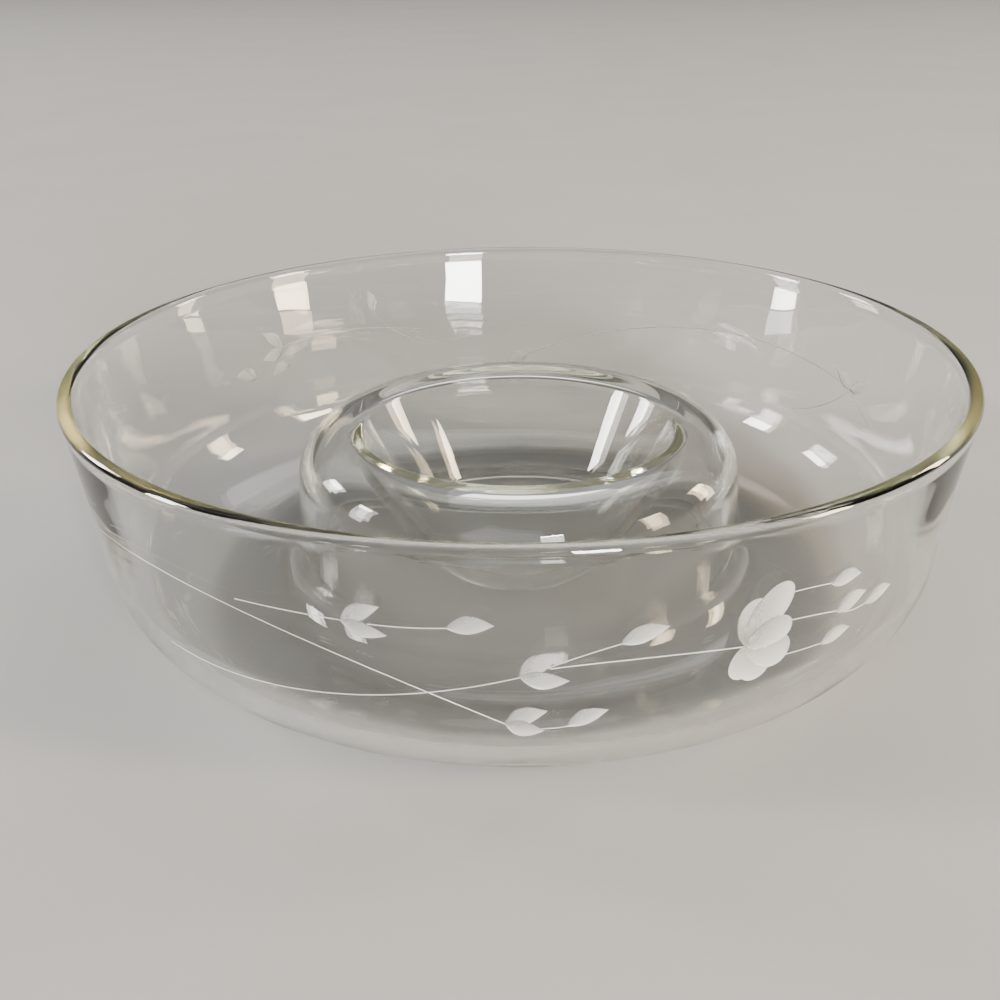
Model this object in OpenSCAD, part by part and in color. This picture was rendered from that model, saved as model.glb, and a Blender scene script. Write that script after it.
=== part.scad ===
// One-piece glass chip and dip server: a round bowl whose floor rises into a hollow
// centre ring, with a dip well inside the ring. The glass is one sheet, bent along a path
// of arcs and straight walls and turned about the Z axis. Each sub-part is a stretch of
// that sheet, and meets the next one face to face on a cut square to the glass.
// The server stands on the flat underside of the chip floor, at z = 0.

/* [Bowl] */
// Outside diameter at the rim
rim_d = 266; // [262:1:272]
// Height of the rim above the surface that the server stands on
height = 76; // [72:0.5:80]
// Diameter of the flat underside, where the outer bend starts
base_d = 187; // [180:0.5:190]
// Outside radius of the bend from floor to wall
bend_r = 33; // [28:0.5:36]
// Radius of the wall's slight outward flare, on its outside
flare_r = 400; // [380:5:450]
// Radius of the flare on its inside, where a smaller one thins the wall towards the rim
flare_inside_r = 315; // [310:5:350]
// Thickness of the glass, except where the wall thins
glass_t = 4.6; // [4.4:0.1:4.8]
// Diameter of the rounded bead along the rim
bead_d = 4.2; // [4.1:0.1:4.6]

/* [Centre ring] */
// Diameter where the ring's foot fillet leaves the flat floor
ring_foot_d = 160; // [158:0.5:163]
// Radius of that fillet, on the chip side
foot_fillet_r = 11; // [8:0.5:11.5]
// Diameter of the crest, along its highest line
crest_d = 105; // [102:0.5:106]
// Height of the crest
crest_h = 54; // [50:0.5:58]
// Radius of the shoulder outside the crest
shoulder_r = 15.4; // [13:0.2:16]
// Radius of the lip inside the crest
lip_r = 6; // [5.4:0.2:8]

/* [Dip well] */
// Radius of the well's bowl-like bottom
well_bottom_r = 30; // [22:0.5:32]
// Diameter of the small flat in the middle of the well
well_flat_d = 12; // [8:0.5:16]
// Gap between the well's underside and the surface that the server stands on
well_lift = 2; // [1:0.5:4]

/* [Quality] */
// Number of sides of the round parts in the preview
sides = 160; // [128:8:256]

/* [Hidden] */

glass_colour = [0.80, 0.86, 0.80, 0.45];
edge_colour = [0.70, 0.78, 0.66, 0.75];

bead_r = bead_d / 2;
rim_depth = 6;            // how far the rim's sub-part reaches down from the bead's centre
cut_reach = 1.5;          // a cutting wedge reaches past the arc that it cuts by this factor
weld = 0.0002;            // a sloping stretch runs into the bend at its end by this much

function unit(a) = [cos(a), sin(a)];
function bearing(v) = (atan2(v.y, v.x) + 360) % 360;

// Angle at c1 of the triangle whose sides from c1 are a and b and whose third side is c
function corner_angle(a, b, c) = acos((a * a + b * b - c * c) / (2 * a * b));

// Bearing of the normal of a straight wall that touches a convex arc about c1 and a
// concave arc about c2, on opposite sides of the wall
function wall_normal(c1, r1, c2, r2, side) =
    bearing(c2 - c1) + side * acos((r1 + r2) / norm(c2 - c1));

// Bowl section, as [radius, height]: the bend and the flare touch on one line
// through both of their centres
bend_c = [base_d / 2, bend_r];
bead_c = [rim_d / 2 - bead_r, height - bead_r];
bend_to_flare = bend_r + flare_r;
bend_to_bead = norm(bead_c - bend_c);
flare_to_bead = flare_r + bead_r;
bend_end = bearing(bead_c - bend_c)
    - corner_angle(bend_to_bead, bend_to_flare, flare_to_bead);
flare_turn = corner_angle(bend_to_flare, flare_to_bead, bend_to_bead);
rim_turn = flare_turn - rim_depth / flare_r * 180 / PI;

// Centre ring section
foot_c = [ring_foot_d / 2, glass_t + foot_fillet_r];
shoulder_c = [crest_d / 2, crest_h - shoulder_r];
lip_c = [crest_d / 2, crest_h - lip_r];
ring_normal = wall_normal(shoulder_c, shoulder_r, foot_c, foot_fillet_r, 1) - 360;

// Dip well section
well_c = [well_flat_d / 2, well_lift + glass_t + well_bottom_r];
well_normal = wall_normal(lip_c, lip_r, well_c, well_bottom_r, -1);

// A wedge with its point at the origin, from angle a0 to angle a1
module wedge(reach, a0, a1) {
    steps = 4;
    polygon([[0, 0], for (i = [0:steps]) reach * unit(a0 + (a1 - a0) * i / steps)]);
}

// A bent stretch of the sheet about the origin, whose smaller radius is r
module bend(r, a0, a1) {
    intersection() {
        difference() {
            circle(r + glass_t, $fn = sides);
            circle(r, $fn = sides);
        }
        wedge(cut_reach * (r + glass_t), a0, a1);
    }
}

// A straight stretch of the sheet, to the side n of the line from p to q, and past q by
// overlap, so that it joins the bend there
module strip(p, q, n, overlap = 0) {
    end = q + overlap * (q - p) / norm(q - p);
    polygon([p, end, end + glass_t * n, p + glass_t * n]);
}

// The bowl's frame: the origin is the bend's centre, and x points to the flare's centre
module bowl_frame() {
    translate(bend_c) rotate(bend_end) children();
}

// A stretch of the flared wall in the bowl's frame, from turn a0 to turn a1 above the bend
module flared_wall(a0, a1) {
    intersection() {
        difference() {
            translate([bend_r - glass_t + flare_inside_r, 0])
                circle(flare_inside_r, $fn = 4 * sides);
            translate([bend_to_flare, 0]) circle(flare_r, $fn = 4 * sides);
        }
        translate([bend_to_flare, 0]) wedge(cut_reach * flare_r, 180 - a1, 180 - a0);
    }
}

// A section turned into glass
module turned(colour) {
    color(colour) rotate_extrude($fn = sides) children();
}

// Rounded bead and the top of the wall
module rim() {
    turned(edge_colour) bowl_frame() {
        flared_wall(rim_turn, flare_turn);
        translate([bend_to_flare, 0]) rotate(180 - flare_turn)
            translate([flare_to_bead, 0]) circle(bead_r, $fn = sides);
    }
}

// Flared wall between the bend and the rim
module side_wall() {
    turned(glass_colour) bowl_frame() flared_wall(0, rim_turn);
}

// Large bend from the wall down to the floor
module lower_bend() {
    turned(glass_colour) bowl_frame() bend(bend_r - glass_t, -90 - bend_end, 0);
}

// Flat floor that the chips lie on, with the fillet up to the centre ring
module chip_floor() {
    turned(edge_colour) {
        strip([ring_foot_d / 2, 0], [base_d / 2, 0], [0, 1]);
        translate(foot_c) bend(foot_fillet_r, ring_normal - 180, -90);
    }
}

// Hollow raised ring: near-upright wall, shoulder, crest and inner lip
module centre_ring() {
    wall_n = unit(ring_normal);
    turned(glass_colour) {
        strip(
            foot_c - foot_fillet_r * wall_n, shoulder_c + shoulder_r * wall_n,
            -wall_n, weld
        );
        translate(shoulder_c) bend(shoulder_r - glass_t, ring_normal, 90);
        translate(lip_c) bend(lip_r - glass_t, 90, well_normal);
    }
}

// Funnel-shaped well with a bowl-like bottom
module dip_well() {
    well_n = unit(well_normal);
    turned(edge_colour) {
        strip(lip_c + lip_r * well_n, well_c - well_bottom_r * well_n, -well_n, weld);
        translate(well_c) bend(well_bottom_r, -90, well_normal - 180);
        strip([0, well_lift], [well_flat_d / 2, well_lift], [0, 1]);
    }
}

rim();
side_wall();
lower_bend();
chip_floor();
centre_ring();
dip_well();
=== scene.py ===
# Looks for the one-piece glass chip and dip server. One closed glass mesh, turned about the
# Z axis from the same section as the CAD nodes, stands in for all six of them. Shallow
# frosted cuts in its outer wall draw sprays of stems, leaves and a flower. The section and
# the engraving are in millimetres and degrees, and the meshes are made in metres.
import math
from dataclasses import dataclass

import bpy
import numpy as np
from mathutils import Matrix, Vector
from mathutils.geometry import delaunay_2d_cdt


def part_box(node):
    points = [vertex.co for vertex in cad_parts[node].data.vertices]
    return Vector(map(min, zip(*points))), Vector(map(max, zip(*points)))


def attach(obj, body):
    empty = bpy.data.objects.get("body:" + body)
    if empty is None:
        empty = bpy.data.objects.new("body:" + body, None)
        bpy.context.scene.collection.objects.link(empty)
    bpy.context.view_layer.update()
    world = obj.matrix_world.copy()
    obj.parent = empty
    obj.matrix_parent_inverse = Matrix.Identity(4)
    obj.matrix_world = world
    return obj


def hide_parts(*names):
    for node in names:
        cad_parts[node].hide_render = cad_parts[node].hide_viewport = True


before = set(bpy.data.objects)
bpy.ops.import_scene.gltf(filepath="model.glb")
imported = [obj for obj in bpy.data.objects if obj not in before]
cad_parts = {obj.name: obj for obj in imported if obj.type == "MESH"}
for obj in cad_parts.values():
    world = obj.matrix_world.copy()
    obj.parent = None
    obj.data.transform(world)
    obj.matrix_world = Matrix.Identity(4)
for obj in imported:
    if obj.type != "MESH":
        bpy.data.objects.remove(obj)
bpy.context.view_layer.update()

MM = 0.001
COLUMNS = 360  # columns of the glass mesh round the axis, one a degree

# ---------------------------------------------------------------- sizes of the section, mm
RIM_R = round(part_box("rim")[1][0] / MM, 1)
HEIGHT = round(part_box("rim")[1][2] / MM, 1)
GLASS_T = 4.6
BEAD_R = 2.1
BASE_R = 93.5
BEND_R = 33.0
FLARE_R = 400.0
FLARE_INSIDE_R = 315.0
RING_FOOT_R = 80.0
FOOT_FILLET_R = 11.0
CREST_R = 52.5
CREST_H = round(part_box("centre_ring")[1][2] / MM, 1)
SHOULDER_R = 15.4
LIP_R = 6.0
WELL_BOTTOM_R = 30.0
WELL_FLAT_R = 6.0
WELL_LIFT = round(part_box("dip_well")[0][2] / MM, 1)
BEAD_BLEND = 4.0  # the inside of the wall runs into the bead over this length

# ---------------------------------------------------------------- rows of the section, mm
CHIP_SIDE_STEP = 1.7  # about the step round the ring's and well's bends, where chips touch
UNDERSIDE_STEP = 2.0
INNER_BEND_STEP = 1.6
OUTER_BEND_STEP = 1.8
INNER_WALL_STEP = 3.0
BEAD_STEP = 0.35
TIGHT_SHARE = 0.7  # the shoulder and the foot fillet have steps shorter by this factor
LIP_STEPS = 8  # a step on the lip is at most about its radius over this
WELL_WALL_STEPS, RING_WALL_STEPS, FLOOR_STEPS = 8, 7, 4
ROWS_OVER_BAND = (72.0, 70.0)  # heights of the rows between the bead and the engraved band
BAND_LOW, BAND_HIGH, BAND_STEP = 20.0, 68.0, 2.0  # heights of the engraved band's rows


def unit(degrees):
    a = math.radians(degrees)
    return np.array([math.cos(a), math.sin(a)])


def bearing(v):
    return math.degrees(math.atan2(v[1], v[0]))


def corner_angle(a, b, c):
    """Angle between sides a and b of the triangle whose third side is c, in degrees."""
    return math.degrees(math.acos((a * a + b * b - c * c) / (2 * a * b)))


def wall_normal(c1, r1, c2, r2, side):
    """Bearing of the normal of a wall that touches arcs about c1 and c2 on opposite sides."""
    apart = math.acos((r1 + r2) / np.linalg.norm(c2 - c1))
    return bearing(c2 - c1) + side * math.degrees(apart)


BEND_C = np.array([BASE_R, BEND_R])
BEAD_C = np.array([RIM_R - BEAD_R, HEIGHT - BEAD_R])
BEND_TO_FLARE = BEND_R + FLARE_R
BEND_TO_BEAD = np.linalg.norm(BEAD_C - BEND_C)
FLARE_TO_BEAD = FLARE_R + BEAD_R
BEND_END = bearing(BEAD_C - BEND_C) - corner_angle(BEND_TO_BEAD, BEND_TO_FLARE, FLARE_TO_BEAD)
FLARE_TURN = corner_angle(BEND_TO_FLARE, FLARE_TO_BEAD, BEND_TO_BEAD)
FLARE_C = BEND_C + BEND_TO_FLARE * unit(BEND_END)
FLARE_INSIDE_C = BEND_C + (BEND_R - GLASS_T + FLARE_INSIDE_R) * unit(BEND_END)
FOOT_C = np.array([RING_FOOT_R, GLASS_T + FOOT_FILLET_R])
SHOULDER_C = np.array([CREST_R, CREST_H - SHOULDER_R])
LIP_C = np.array([CREST_R, CREST_H - LIP_R])
WELL_C = np.array([WELL_FLAT_R, WELL_LIFT + GLASS_T + WELL_BOTTOM_R])
RING_NORMAL = wall_normal(SHOULDER_C, SHOULDER_R, FOOT_C, FOOT_FILLET_R, 1)
WELL_NORMAL = wall_normal(LIP_C, LIP_R, WELL_C, WELL_BOTTOM_R, -1) % 360
BEND_TOP = BEND_C[1] + BEND_R * math.sin(math.radians(BEND_END))


# ---------------------------------------------------------------- section, point by point
# Each row of the section is [radius, height, normal's radial part, normal's upward part].
def arc(centre, r, a0, a1, step, side):
    """Rows along an arc. side is 1 where the normal leaves the centre, -1 where it meets it."""
    count = max(2, round(abs(math.radians(a1 - a0)) * r / step))
    turns = [a0 + (a1 - a0) * i / count for i in range(count + 1)]
    return [[*(centre + r * unit(a)), *(side * unit(a))] for a in turns]


def straight(p, q, normal, count):
    """Rows between two points, without the points themselves."""
    return [[*(p + (q - p) * i / count), *normal] for i in range(1, count)]


def wall_row(z):
    """The row of the outer wall at height z, on the bend or on the flare above it."""
    if z < BEND_TOP:
        turn = math.asin((z - BEND_C[1]) / BEND_R)
        normal = np.array([math.cos(turn), math.sin(turn)])
        return [*(BEND_C + BEND_R * normal), *normal]
    reach = math.sqrt(FLARE_R**2 - (z - FLARE_C[1]) ** 2)
    point = np.array([FLARE_C[0] - reach, z])
    return [*point, *((FLARE_C - point) / FLARE_R)]


def sheet_side(offset, step):
    """Rows from the axis to the flat floor, on the chip side (0) or the underside (GLASS_T)."""
    side = 1 if offset == 0 else -1
    ring_n, well_n = unit(RING_NORMAL), unit(WELL_NORMAL)
    well_r, foot_r = WELL_BOTTOM_R + offset, FOOT_FILLET_R + offset
    lip_r, shoulder_r = LIP_R - offset, SHOULDER_R - offset
    floor = GLASS_T - offset
    rows = [[0.0, WELL_C[1] - well_r, 0.0, side]]
    rows += arc(WELL_C, well_r, -90, WELL_NORMAL - 180, step, -side)
    well_wall = (WELL_C - well_r * well_n, LIP_C + lip_r * well_n)
    rows += straight(*well_wall, side * well_n, WELL_WALL_STEPS)
    rows += arc(LIP_C, lip_r, WELL_NORMAL, 90, min(step, lip_r / LIP_STEPS), side)
    tight_step = step * TIGHT_SHARE
    rows += arc(SHOULDER_C, shoulder_r, 90, RING_NORMAL % 360, tight_step, side)[1:]
    ring_wall = (SHOULDER_C + shoulder_r * ring_n, FOOT_C - foot_r * ring_n)
    rows += straight(*ring_wall, side * ring_n, RING_WALL_STEPS)
    rows += arc(FOOT_C, foot_r, RING_NORMAL % 360 - 180, -90, tight_step, -side)
    flat = (np.array([RING_FOOT_R, floor]), np.array([BASE_R, floor]))
    rows += straight(*flat, [0, side], FLOOR_STEPS)
    return rows


def section():
    """All rows, from the axis in the well over the bowl and the rim to the axis underneath,
    and the numbers of the band's first and last rows."""
    rows = sheet_side(0, CHIP_SIDE_STEP)
    rows += arc(BEND_C, BEND_R - GLASS_T, -90, BEND_END, INNER_BEND_STEP, -1)
    inner_turn = FLARE_TURN * FLARE_R / FLARE_INSIDE_R - math.degrees(BEAD_BLEND / FLARE_INSIDE_R)
    start = BEND_END + 180
    rows += arc(FLARE_INSIDE_C, FLARE_INSIDE_R, start, start - inner_turn, INNER_WALL_STEP, 1)[1:]
    rows += arc(BEAD_C, BEAD_R, 180, bearing(FLARE_C - BEAD_C), BEAD_STEP, 1)
    rows += [wall_row(z) for z in ROWS_OVER_BAND]
    band_first = len(rows)
    band = np.arange(BAND_HIGH, BAND_LOW - BAND_STEP / 2, -BAND_STEP)
    rows += [wall_row(z) for z in band]
    band_last = len(rows) - 1
    low_turn = math.degrees(math.asin((BAND_LOW - BEND_C[1]) / BEND_R))
    rows += arc(BEND_C, BEND_R, low_turn, -90, OUTER_BEND_STEP, 1)[1:]
    rows += sheet_side(GLASS_T, UNDERSIDE_STEP)[::-1]
    return np.array(rows), band_first, band_last


# ---------------------------------------------------------------- engraving
# The engraving is drawn on the outer wall unrolled: [distance round the wall, height], mm.
# Bearings are degrees round the axis, 0 at the front (-Y) and positive towards +X.
WALL_R = 128.0  # radius at which the wall is unrolled
OUTLINE = 0.01  # a point nearer than this to a cut's outline is outside it
CUT_EDGE = 0.35  # width of the steep edge of a leaf's or petal's cut
CUT_EDGE_DEPTH = 0.07
CUT_HOLLOW = 0.05  # the cut gets deeper towards its middle by this share of its width
CUT_LEAN = 0.4  # share by which the hollow is deeper on one side and shallower on the other
BLADE_POINTS = 19  # points of a leaf's or petal's outline on each side of its middle line
# A leaf or petal is this matt at its base, more at its tip, less to one side, and at least:
MATT_BASE, MATT_TO_TIP, MATT_TO_SIDE, MATT_LEAST = 0.42, 0.42, 0.16, 0.15
SLOPE_STEP = 0.01  # a cut's slope is taken over twice this length
SLOPE_INWARD = 0.2  # and this share of the way from a face's corner to its middle
STEM_W = 0.32
STEM_DEPTH = 0.11
STEM_STEP = 2.5


@dataclass
class Cut:
    """One wheel-cut mark: outline points, lines inside it, and its depth and how matt it is
    at any point."""

    outline: np.ndarray
    inner: list
    depth: object
    matt: object


def spot(degrees, height):
    return np.array([WALL_R * math.radians(degrees), height])


def leaf_half_width(t, w):
    return w / 2 * np.sin(math.pi * np.clip(t, 0, 1) ** 0.85)


def petal_half_width(t, w):
    t = np.clip(t, 0, 1)
    return w / 2 * np.sqrt(np.maximum(1 - (2 * t - 1) ** 2, 0)) * (0.8 + 0.4 * t)


def blade(base, heading, length, width, bow, half_width):
    """A leaf or petal from its base point, with its middle line bent by bow. The wheel bites
    harder, and leaves a whiter mark, towards the tip and towards one side."""
    along, across = unit(heading), unit(heading + 90)

    def place(t, y):
        return base + np.outer(t * length, along) + np.outer(y + 4 * bow * t * (1 - t), across)

    def local(points):
        t = (points - base) @ along / length
        y = (points - base) @ across - 4 * bow * t * (1 - t)
        half = half_width(t, width)
        inside = np.where((t > 0) & (t < 1), half - np.abs(y), -1)
        return t, y / np.maximum(half, 1e-6), half, inside

    def depth(points):
        t, side, half, inside = local(points)
        cut = CUT_EDGE_DEPTH * np.minimum(inside / CUT_EDGE, 1)
        cut = cut + 2 * CUT_HOLLOW * half * (1 - side**2) * (1 - CUT_LEAN * side)
        return np.where(inside > OUTLINE, cut, 0)

    def matt(points):
        t, side, half, inside = local(points)
        return np.clip(MATT_BASE + MATT_TO_TIP * t - MATT_TO_SIDE * side, MATT_LEAST, 1)

    t = (1 - np.cos(np.linspace(0, math.pi, BLADE_POINTS))) / 2
    half = half_width(t, width)
    outline = np.vstack([place(t, half), place(t[-2:0:-1], -half[-2:0:-1])])
    wide = half > 2 * CUT_EDGE
    ti, hi = t[wide], half[wide]
    inner = [place(ti, k * (hi - (CUT_EDGE if abs(k) == 1 else 0))) for k in (-1, -0.5, 0, 0.5, 1)]
    return Cut(outline, inner, depth, matt)


def stem(start, control, end):
    """A thin V-shaped groove along a curve that leaves start towards control and ends at end."""
    reach = np.linalg.norm(control - start) + np.linalg.norm(end - control)
    t = np.linspace(0, 1, max(4, round(reach / STEM_STEP)))[:, None]
    middle = (1 - t) ** 2 * start + 2 * t * (1 - t) * control + t**2 * end
    way = np.gradient(middle, axis=0)
    way /= np.linalg.norm(way, axis=1)[:, None]
    across = np.column_stack([-way[:, 1], way[:, 0]]) * STEM_W / 2

    def depth(points):
        a, b = middle[:-1], middle[1:]
        run = b - a
        share = ((points[:, None] - a) * run).sum(2) / (run**2).sum(1)
        nearest = a + np.clip(share, 0, 1)[..., None] * run
        away = np.linalg.norm(points[:, None] - nearest, axis=2).min(1)
        return STEM_DEPTH * np.where(away < STEM_W / 2 - OUTLINE, 1 - away / (STEM_W / 2), 0)

    outline = np.vstack([middle + across, (middle - across)[::-1]])
    return Cut(outline, [middle], depth, lambda points: np.ones(len(points)))


def leaf(degrees, height, heading, length=11.0, width=4.6, bow=0.6):
    return blade(spot(degrees, height), heading, length, width, bow, leaf_half_width)


def bloom(degrees, height, size):
    """A bloom seen from the side: petals that fan out from one base and overlap."""
    base = spot(degrees, height)
    fan = [
        (-92, 0.54, 0.42),
        (86, 0.72, 0.44),
        (60, 1.00, 0.50),
        (-64, 0.64, 0.48),
        (-24, 0.76, 0.52),
        (16, 0.70, 0.44),
    ]
    petals = []
    for heading, length, width in fan:
        petals.append(blade(base, heading, length * size, width * size, 0, petal_half_width))
    return petals


def front_spray():
    cuts = [
        stem(spot(-59, 48.5), spot(-31, 61), spot(-1.5, 28)),
        stem(spot(-44, 29), spot(-22, 27), spot(0.5, 41.5)),
        stem(spot(-30.5, 52.5), spot(-24, 53.5), spot(-17.5, 53.5)),
        stem(spot(-15, 53.5), spot(-11, 53.5), spot(-6.5, 54.5)),
        stem(spot(2, 43), spot(6, 47), spot(10.5, 49.5)),
        stem(spot(3, 43.5), spot(12, 46), spot(24, 42.5)),
        stem(spot(1, 26.5), spot(3, 26), spot(5.5, 27)),
        stem(spot(27, 55), spot(31, 55), spot(34.5, 53.5)),
        stem(spot(27, 47), spot(32, 46.5), spot(36.5, 44)),
        stem(spot(36.5, 43.5), spot(39, 41.5), spot(41.5, 42.5)),
        stem(spot(27.5, 37), spot(31, 36.5), spot(35, 36)),
    ]
    cuts += [
        leaf(-1.5, 28, 20, 10.5, 4.8),
        leaf(-1.5, 28, -14, 9.5, 4.6, -0.6),
        leaf(4.9, 27, 22, 10.5, 4.4),
        leaf(0, 41.5, 34, 11, 5.0),
        leaf(0, 41.5, -8, 11.5, 4.8, -0.6),
        leaf(-17.8, 53.5, 28, 11, 4.4),
        leaf(-17.8, 53.5, -14, 11, 4.2, -0.6),
        leaf(-7, 54.4, 6, 10.5, 5.0),
        leaf(10, 49.3, 17, 11.5, 5.0),
        leaf(34, 53.5, -2, 10.5, 4.6),
        leaf(36, 44, 14, 10.5, 5.4),
        leaf(41, 42.4, 6, 11, 4.8),
        leaf(34.4, 36, 7, 10.5, 4.4),
    ]
    return cuts + bloom(24, 42.8, 18)


def back_spray():
    cuts = [
        stem(spot(107, 36), spot(110, 38), spot(114, 44)),
        stem(spot(114, 44), spot(118, 34), spot(126, 29)),
        stem(spot(114, 44), spot(148, 60), spot(178, 34)),
        stem(spot(188, 42), spot(200, 36), spot(206, 54)),
        stem(spot(196, 45), spot(212, 52), spot(224, 48)),
    ]
    return cuts + [
        leaf(114, 44, 150, 9.5, 4.2),
        leaf(114, 44, 30, 10, 4.6),
        leaf(178, 34, -20, 10, 4.4),
        leaf(224, 48, 40, 10.5, 4.6),
        leaf(224, 48, -16, 10.5, 4.6, -0.6),
        leaf(206, 54, 80, 9, 4.2),
        leaf(230, 40, 15, 10.5, 5.0),
        leaf(223, 42, -20, 9.5, 4.4),
    ]


# Each tile is a stretch of the band, from one whole degree to another, and its cuts.
TILES = [(-64, 60, front_spray()), (98, 238, back_spray())]


def top_cut(cuts, points):
    """The number of the last cut that covers each point, or -1, and its depth there."""
    depths = np.array([cut.depth(points) for cut in cuts])
    last = len(cuts) - 1 - np.argmax(depths[::-1] > 0, axis=0)
    depth = depths[last, np.arange(len(points))]
    return np.where(depth > 0, last, -1), depth


def tile_mesh(first, last, cuts, heights):
    """An engraved tile in triangles: its points, the number in the grid of each one that is a
    grid point (-1 for the others), and the corners of the triangles."""
    degrees = range(first, last + 1)
    grid = np.array([spot(b, z) for z in heights for b in degrees])
    inside = (grid[:, 0] > grid[:, 0].min()) & (grid[:, 0] < grid[:, 0].max())
    inside &= (grid[:, 1] > min(heights)) & (grid[:, 1] < max(heights))
    kept = ~(inside & (top_cut(cuts, grid)[0] >= 0))
    points, edges = list(grid[kept]), []
    for number, cut in enumerate(cuts):
        at = len(points)
        points += list(cut.outline)
        edges += [(at + i, at + (i + 1) % len(cut.outline)) for i in range(len(cut.outline))]
        for line in cut.inner:
            shown = np.ones(len(line), bool)
            if cuts[number + 1 :]:
                shown = top_cut(cuts[number + 1 :], line)[0] < 0
            at = len(points)
            points += list(line)
            edges += [(at + i, at + i + 1) for i in range(len(line) - 1) if shown[i : i + 2].all()]
    found, _, triangles, came_from = delaunay_2d_cdt(
        [Vector(p) for p in points], edges, [], 0, 1e-4, True
    )[:4]
    grid_index = np.flatnonzero(kept)
    origin = []
    for sources in came_from:
        on_grid = [s for s in sources if s < len(grid_index)]
        origin.append(int(grid_index[on_grid[0]]) if on_grid else -1)
    return np.array([p[:] for p in found]), np.array(origin), triangles


# ---------------------------------------------------------------- the glass mesh
def turned(rz, degrees):
    """Points or normals [radial, up] turned to their bearings, as x, y, z."""
    a = np.radians(degrees)
    return np.column_stack([rz[:, 0] * np.sin(a), -rz[:, 0] * np.cos(a), rz[:, 1]])


def wall_normals(points, cut=None, towards=None):
    """Normals at points on the unrolled wall, or in a cut: there the slope is taken a little
    way towards the middle of each face, so that it isn't the slope beyond an edge."""
    a = points[:, 0] / WALL_R
    outward = turned(np.array([wall_row(z)[2:] for z in points[:, 1]]), np.degrees(a))
    if cut is None:
        return outward
    sideways = np.column_stack([np.cos(a), np.sin(a), np.zeros(len(a))])
    upward = np.cross(outward, sideways)
    at = points + SLOPE_INWARD * (towards - points)
    ways = np.eye(2) * SLOPE_STEP
    normal = outward
    for way, direction in zip(ways, (sideways, upward)):
        slope = (cut.depth(at + way) - cut.depth(at - way)) / (2 * SLOPE_STEP)
        normal = normal + slope[:, None] * direction
    return normal / np.linalg.norm(normal, axis=1)[:, None]


def corner_number(row_count, row, column):
    """Number of the turned point in a row and column. The first and last rows are one point."""
    if row in (0, row_count - 1):
        return row * COLUMNS
    return row * COLUMNS + column % COLUMNS


def plain_faces(row_count, band_first, band_last):
    """Faces between neighbouring rows, with gaps where the tiles go."""
    tile_columns = {c % COLUMNS for first, last, _ in TILES for c in range(first, last)}
    faces = []
    for row in range(row_count - 1):
        for column in range(COLUMNS):
            if band_first <= row < band_last and column in tile_columns:
                continue
            ring = ((row, column), (row + 1, column), (row + 1, column + 1), (row, column + 1))
            numbers = [corner_number(row_count, *place) for place in ring]
            faces.append(list(dict.fromkeys(numbers)))
    return faces


def outward_triangles(flat, triangles):
    """The triangles, with their corners in the order that makes them face outwards, and the
    middle of each."""
    tri = np.array(triangles)
    a, b, c = flat[tri[:, 0]], flat[tri[:, 1]], flat[tri[:, 2]]
    area = (b - a)[:, 0] * (c - a)[:, 1] - (b - a)[:, 1] * (c - a)[:, 0]
    tri[area < 0] = tri[area < 0][:, ::-1]
    return tri, (a + b + c) / 3


def tile_corners(flat, tri, middle, cuts):
    """Normals and frost at the corners of a tile's triangles, each from the cut it lies in."""
    owner = top_cut(cuts, middle)[0]
    normals = wall_normals(flat)[tri]
    frost = np.zeros(tri.shape)
    for number, cut in enumerate(cuts):
        own = owner == number
        ends, middles = flat[tri[own]].reshape(-1, 2), np.repeat(middle[own], 3, axis=0)
        normals[own] = wall_normals(ends, cut, middles).reshape(-1, 3, 3)
        frost[own] = cut.matt(ends).reshape(-1, 3)
    return normals.reshape(-1, 3), frost.ravel()


def glass_mesh():
    """The whole server as one closed mesh, with its own normals and a frost value at each
    corner: 0 on clear glass, and up to 1 where the cuts are most matt."""
    rows, band_first, band_last = section()
    count = len(rows)
    degrees = np.tile(np.arange(COLUMNS), count)
    spread = np.repeat(rows, COLUMNS, axis=0)
    points = list(turned(spread[:, :2], degrees))
    row_normals = turned(spread[:, 2:], degrees)
    faces = plain_faces(count, band_first, band_last)
    corners = [row_normals[i] for face in faces for i in face]
    frost = [0.0] * len(corners)

    heights = rows[band_first : band_last + 1, 1]
    for first, last, cuts in TILES:
        flat, origin, triangles = tile_mesh(first, last, cuts, heights)
        width = last - first + 1
        depth = top_cut(cuts, flat)[1]
        index = []
        for p, source, cut_depth in zip(flat, origin, depth):
            if source >= 0:
                row, column = band_first + source // width, first + source % width
                index.append(corner_number(count, row, column))
                continue
            wall = np.array(wall_row(p[1]))
            rz = (wall[:2] - cut_depth * wall[2:])[None]
            points.append(turned(rz, np.degrees([p[0] / WALL_R]))[0])
            index.append(len(points) - 1)
        tri, middle = outward_triangles(flat, triangles)
        tile_normals, tile_frost = tile_corners(flat, tri, middle, cuts)
        faces += [[index[k] for k in triple] for triple in tri]
        corners.extend(tile_normals)
        frost.extend(tile_frost)

    used = sorted({i for face in faces for i in face})
    renumber = {old: new for new, old in enumerate(used)}
    mesh = bpy.data.meshes.new("glass_server")
    mesh.from_pydata(
        [points[i] * MM for i in used], [], [[renumber[i] for i in face] for face in faces]
    )
    mesh.shade_smooth()
    mesh.attributes.new("frost", "FLOAT", "CORNER").data.foreach_set("value", frost)
    mesh.normals_split_custom_set([Vector(n) for n in corners])
    return mesh


# ---------------------------------------------------------------- materials
def new_material(name):
    material = bpy.data.materials.new(name)
    material.use_nodes = True
    nodes = material.node_tree.nodes
    return material, nodes, material.node_tree.links, nodes["Principled BSDF"]


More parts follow.
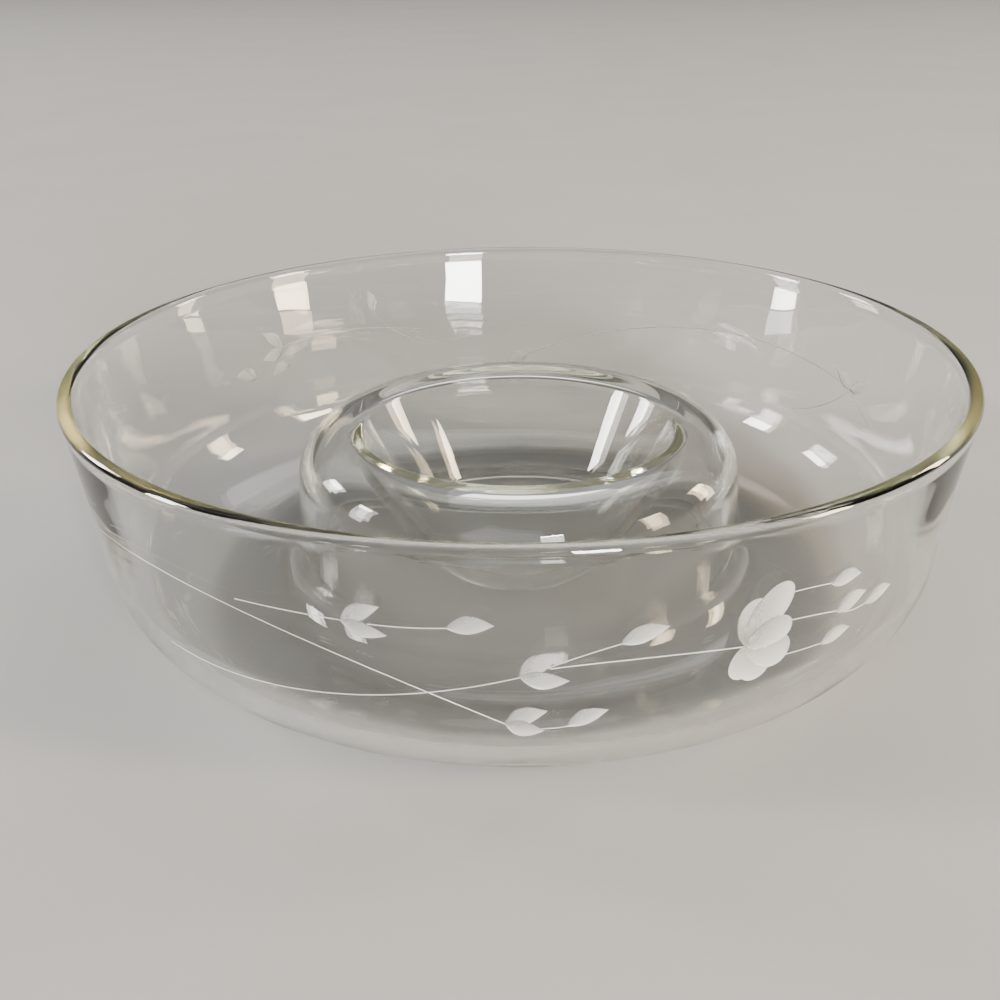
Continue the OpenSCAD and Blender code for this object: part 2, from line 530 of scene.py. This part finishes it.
def noise(nodes, links, coordinates, scale, detail, roughness=0.5):
    node = nodes.new("ShaderNodeTexNoise")
    node.inputs["Scale"].default_value = scale
    node.inputs["Detail"].default_value = detail
    node.inputs["Roughness"].default_value = roughness
    links.new(coordinates, node.inputs["Vector"])
    return node.outputs["Fac"]


def ramp(nodes, links, value, low, high, to_low, to_high):
    node = nodes.new("ShaderNodeMapRange")
    node.inputs["From Min"].default_value = low
    node.inputs["From Max"].default_value = high
    node.inputs["To Min"].default_value = to_low
    node.inputs["To Max"].default_value = to_high
    links.new(value, node.inputs["Value"])
    return node.outputs["Result"]


def combine(nodes, links, operation, a, b):
    node = nodes.new("ShaderNodeMath")
    node.operation = operation
    for socket, value in zip(node.inputs, (a, b)):
        if isinstance(value, float):
            socket.default_value = value
        else:
            links.new(value, socket)
    return node.outputs["Value"]


def bump(nodes, links, height, distance, before=None):
    node = nodes.new("ShaderNodeBump")
    node.inputs["Strength"].default_value = 1.0
    node.inputs["Distance"].default_value = distance
    links.new(height, node.inputs["Height"])
    if before is not None:
        links.new(before, node.inputs["Normal"])
    return node.outputs["Normal"]


def glass_material():
    """Clear glass with a straw-green body, a slightly wavy surface and ground, frosted cuts."""
    material, nodes, links, shader = new_material("clear_glass")
    place = nodes.new("ShaderNodeTexCoord").outputs["Object"]
    mask = nodes.new("ShaderNodeAttribute")
    mask.attribute_name = "frost"
    frost = mask.outputs["Fac"]

    shader.inputs["IOR"].default_value = 1.51
    film = ramp(nodes, links, noise(nodes, links, place, 60, 4), 0.35, 0.75, 0.0, 1.0)
    tint = nodes.new("ShaderNodeMix")
    tint.data_type = "RGBA"
    tint.inputs["A"].default_value = (0.990, 0.993, 0.985, 1)
    tint.inputs["B"].default_value = (0.965, 0.970, 0.955, 1)
    links.new(film, tint.inputs["Factor"])
    veil = nodes.new("ShaderNodeMix")
    veil.data_type = "RGBA"
    veil.inputs["B"].default_value = (0.90, 0.88, 0.83, 1)
    links.new(frost, veil.inputs["Factor"])
    links.new(tint.outputs["Result"], veil.inputs["A"])
    links.new(veil.outputs["Result"], shader.inputs["Base Color"])

    grain = noise(nodes, links, place, 3200, 2)
    ground = ramp(nodes, links, grain, 0.3, 0.7, 0.46, 0.56)
    links.new(combine(nodes, links, "MULTIPLY", ground, frost), shader.inputs["Roughness"])
    clear = combine(nodes, links, "MULTIPLY", frost, -0.40)
    links.new(combine(nodes, links, "ADD", clear, 1.0), shader.inputs["Transmission Weight"])

    waves = bump(nodes, links, noise(nodes, links, place, 28, 1), 0.0004)
    grit = combine(nodes, links, "MULTIPLY", grain, frost)
    links.new(bump(nodes, links, grit, 0.00002, waves), shader.inputs["Normal"])

    body = nodes.new("ShaderNodeVolumeAbsorption")
    body.inputs["Color"].default_value = (0.82, 0.815, 0.58, 1)
    body.inputs["Density"].default_value = 5.5
    links.new(body.outputs["Volume"], nodes["Material Output"].inputs["Volume"])
    return material


def floor_material():
    """Plain pale matt table top with a barely visible mottle."""
    material, nodes, links, shader = new_material("pale_floor")
    place = nodes.new("ShaderNodeTexCoord").outputs["Object"]
    mottle = noise(nodes, links, place, 9, 5)
    tint = nodes.new("ShaderNodeMix")
    tint.data_type = "RGBA"
    tint.inputs["A"].default_value = (0.41, 0.40, 0.385, 1)
    tint.inputs["B"].default_value = (0.45, 0.44, 0.425, 1)
    shader.inputs["Specular IOR Level"].default_value = 0.0
    links.new(mottle, tint.inputs["Factor"])
    links.new(tint.outputs["Result"], shader.inputs["Base Color"])
    links.new(ramp(nodes, links, mottle, 0.3, 0.7, 0.55, 0.70), shader.inputs["Roughness"])
    return material


# ---------------------------------------------------------------- stage, lights, camera
FLOOR_GAP = 0.0004  # air under the flat underside, as where glass stands on a table
FLOOR_R = 3.7
FLOOR_SIDES = 96
CAMERA_BACK = 0.370  # camera's distance in front of the axis
CAMERA_HEIGHT = 0.195
CAMERA_DOWN = 24.5  # degrees below the horizon
CAMERA_LEFT = 0.9  # degrees to the left of straight ahead
CAMERA_ROLL = -0.65
LENS_MM = 46.2
BOUNCES = 48


def add_object(name, data):
    piece = bpy.data.objects.new(name, data)
    bpy.context.scene.collection.objects.link(piece)
    return piece


def add_camera():
    data = bpy.data.cameras.new("camera")
    data.lens = LENS_MM
    data.sensor_width = 36.0
    data.clip_start = 0.01
    camera = add_object("camera", data)
    turn = Matrix.Rotation(math.radians(CAMERA_LEFT), 4, "Z")
    tilt = Matrix.Rotation(math.radians(90 - CAMERA_DOWN), 4, "X")
    roll = Matrix.Rotation(math.radians(CAMERA_ROLL), 4, "Z")
    camera.matrix_world = Matrix.Translation((0, -CAMERA_BACK, CAMERA_HEIGHT)) @ turn @ tilt @ roll
    bpy.context.scene.camera = camera


def add_floor():
    mesh = bpy.data.meshes.new("floor")
    turns = np.linspace(0, math.tau, FLOOR_SIDES, endpoint=False)
    rim = [(FLOOR_R * math.cos(a), FLOOR_R * math.sin(a), -FLOOR_GAP) for a in turns]
    mesh.from_pydata(rim, [], [list(range(FLOOR_SIDES))])
    mesh.materials.append(floor_material())
    add_object("floor", mesh)


def softbox(name, bearing_degrees, rise, distance, size, power, colour):
    """A soft panel light in a direction seen from the server, turned towards it. Like the
    panels of a studio it stays out of the picture, and shows only in the glass."""
    side, up = unit(bearing_degrees - 90), unit(rise)
    place = Vector((side[0] * up[0], side[1] * up[0], up[1])) * distance
    data = bpy.data.lights.new(name, "AREA")
    data.shape = "RECTANGLE"
    data.size, data.size_y = size
    data.energy = power
    data.color = colour
    light = add_object(name, data)
    light.location = place
    light.rotation_euler = (-place).to_track_quat("-Z", "Y").to_euler()
    light.visible_camera = False


def add_lights():
    white, warm = (1.0, 0.99, 0.97), (1.0, 0.80, 0.58)
    softbox("window_front", 17, 14, 4.4, (0.84, 2.2), 400, white)
    softbox("window_left", -86, 12, 4.4, (0.68, 2.0), 170, white)
    softbox("window_back_left", -114, 17, 4.4, (0.70, 1.2), 72, white)
    softbox("warm_right", 72, 12, 4.4, (0.84, 2.0), 200, warm)
    softbox("warm_back_right", 109, 12, 4.4, (0.60, 2.0), 104, warm)
    softbox("overhead", 160, 62, 5.5, (4.2, 4.2), 80, (0.97, 0.98, 1.0))
    world = bpy.data.worlds.new("studio")
    world.use_nodes = True
    nodes, links = world.node_tree.nodes, world.node_tree.links
    place = nodes.new("ShaderNodeTexCoord").outputs["Generated"]
    split = nodes.new("ShaderNodeSeparateXYZ")
    links.new(place, split.inputs["Vector"])
    sky = nodes.new("ShaderNodeMix")
    sky.data_type = "RGBA"
    sky.inputs["A"].default_value = (0.19, 0.18, 0.165, 1)
    sky.inputs["B"].default_value = (0.64, 0.65, 0.67, 1)
    links.new(ramp(nodes, links, split.outputs["Z"], 0.0, 0.8, 0.0, 1.0), sky.inputs["Factor"])
    links.new(sky.outputs["Result"], nodes["Background"].inputs["Color"])
    nodes["Background"].inputs["Strength"].default_value = 0.55
    bpy.context.scene.world = world


# ---------------------------------------------------------------- put together
bpy.context.scene.view_settings.look = "AgX - Medium High Contrast"
add_camera()
add_floor()
add_lights()
server = add_object("glass_server", glass_mesh())
server.data.materials.append(glass_material())
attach(server, "root")
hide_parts("rim", "side_wall", "lower_bend", "chip_floor", "centre_ring", "dip_well")

# Light that enters the rim runs down inside the glass by many inner reflections.
cycles = bpy.context.scene.cycles
cycles.max_bounces = cycles.glossy_bounces = cycles.transmission_bounces = BOUNCES
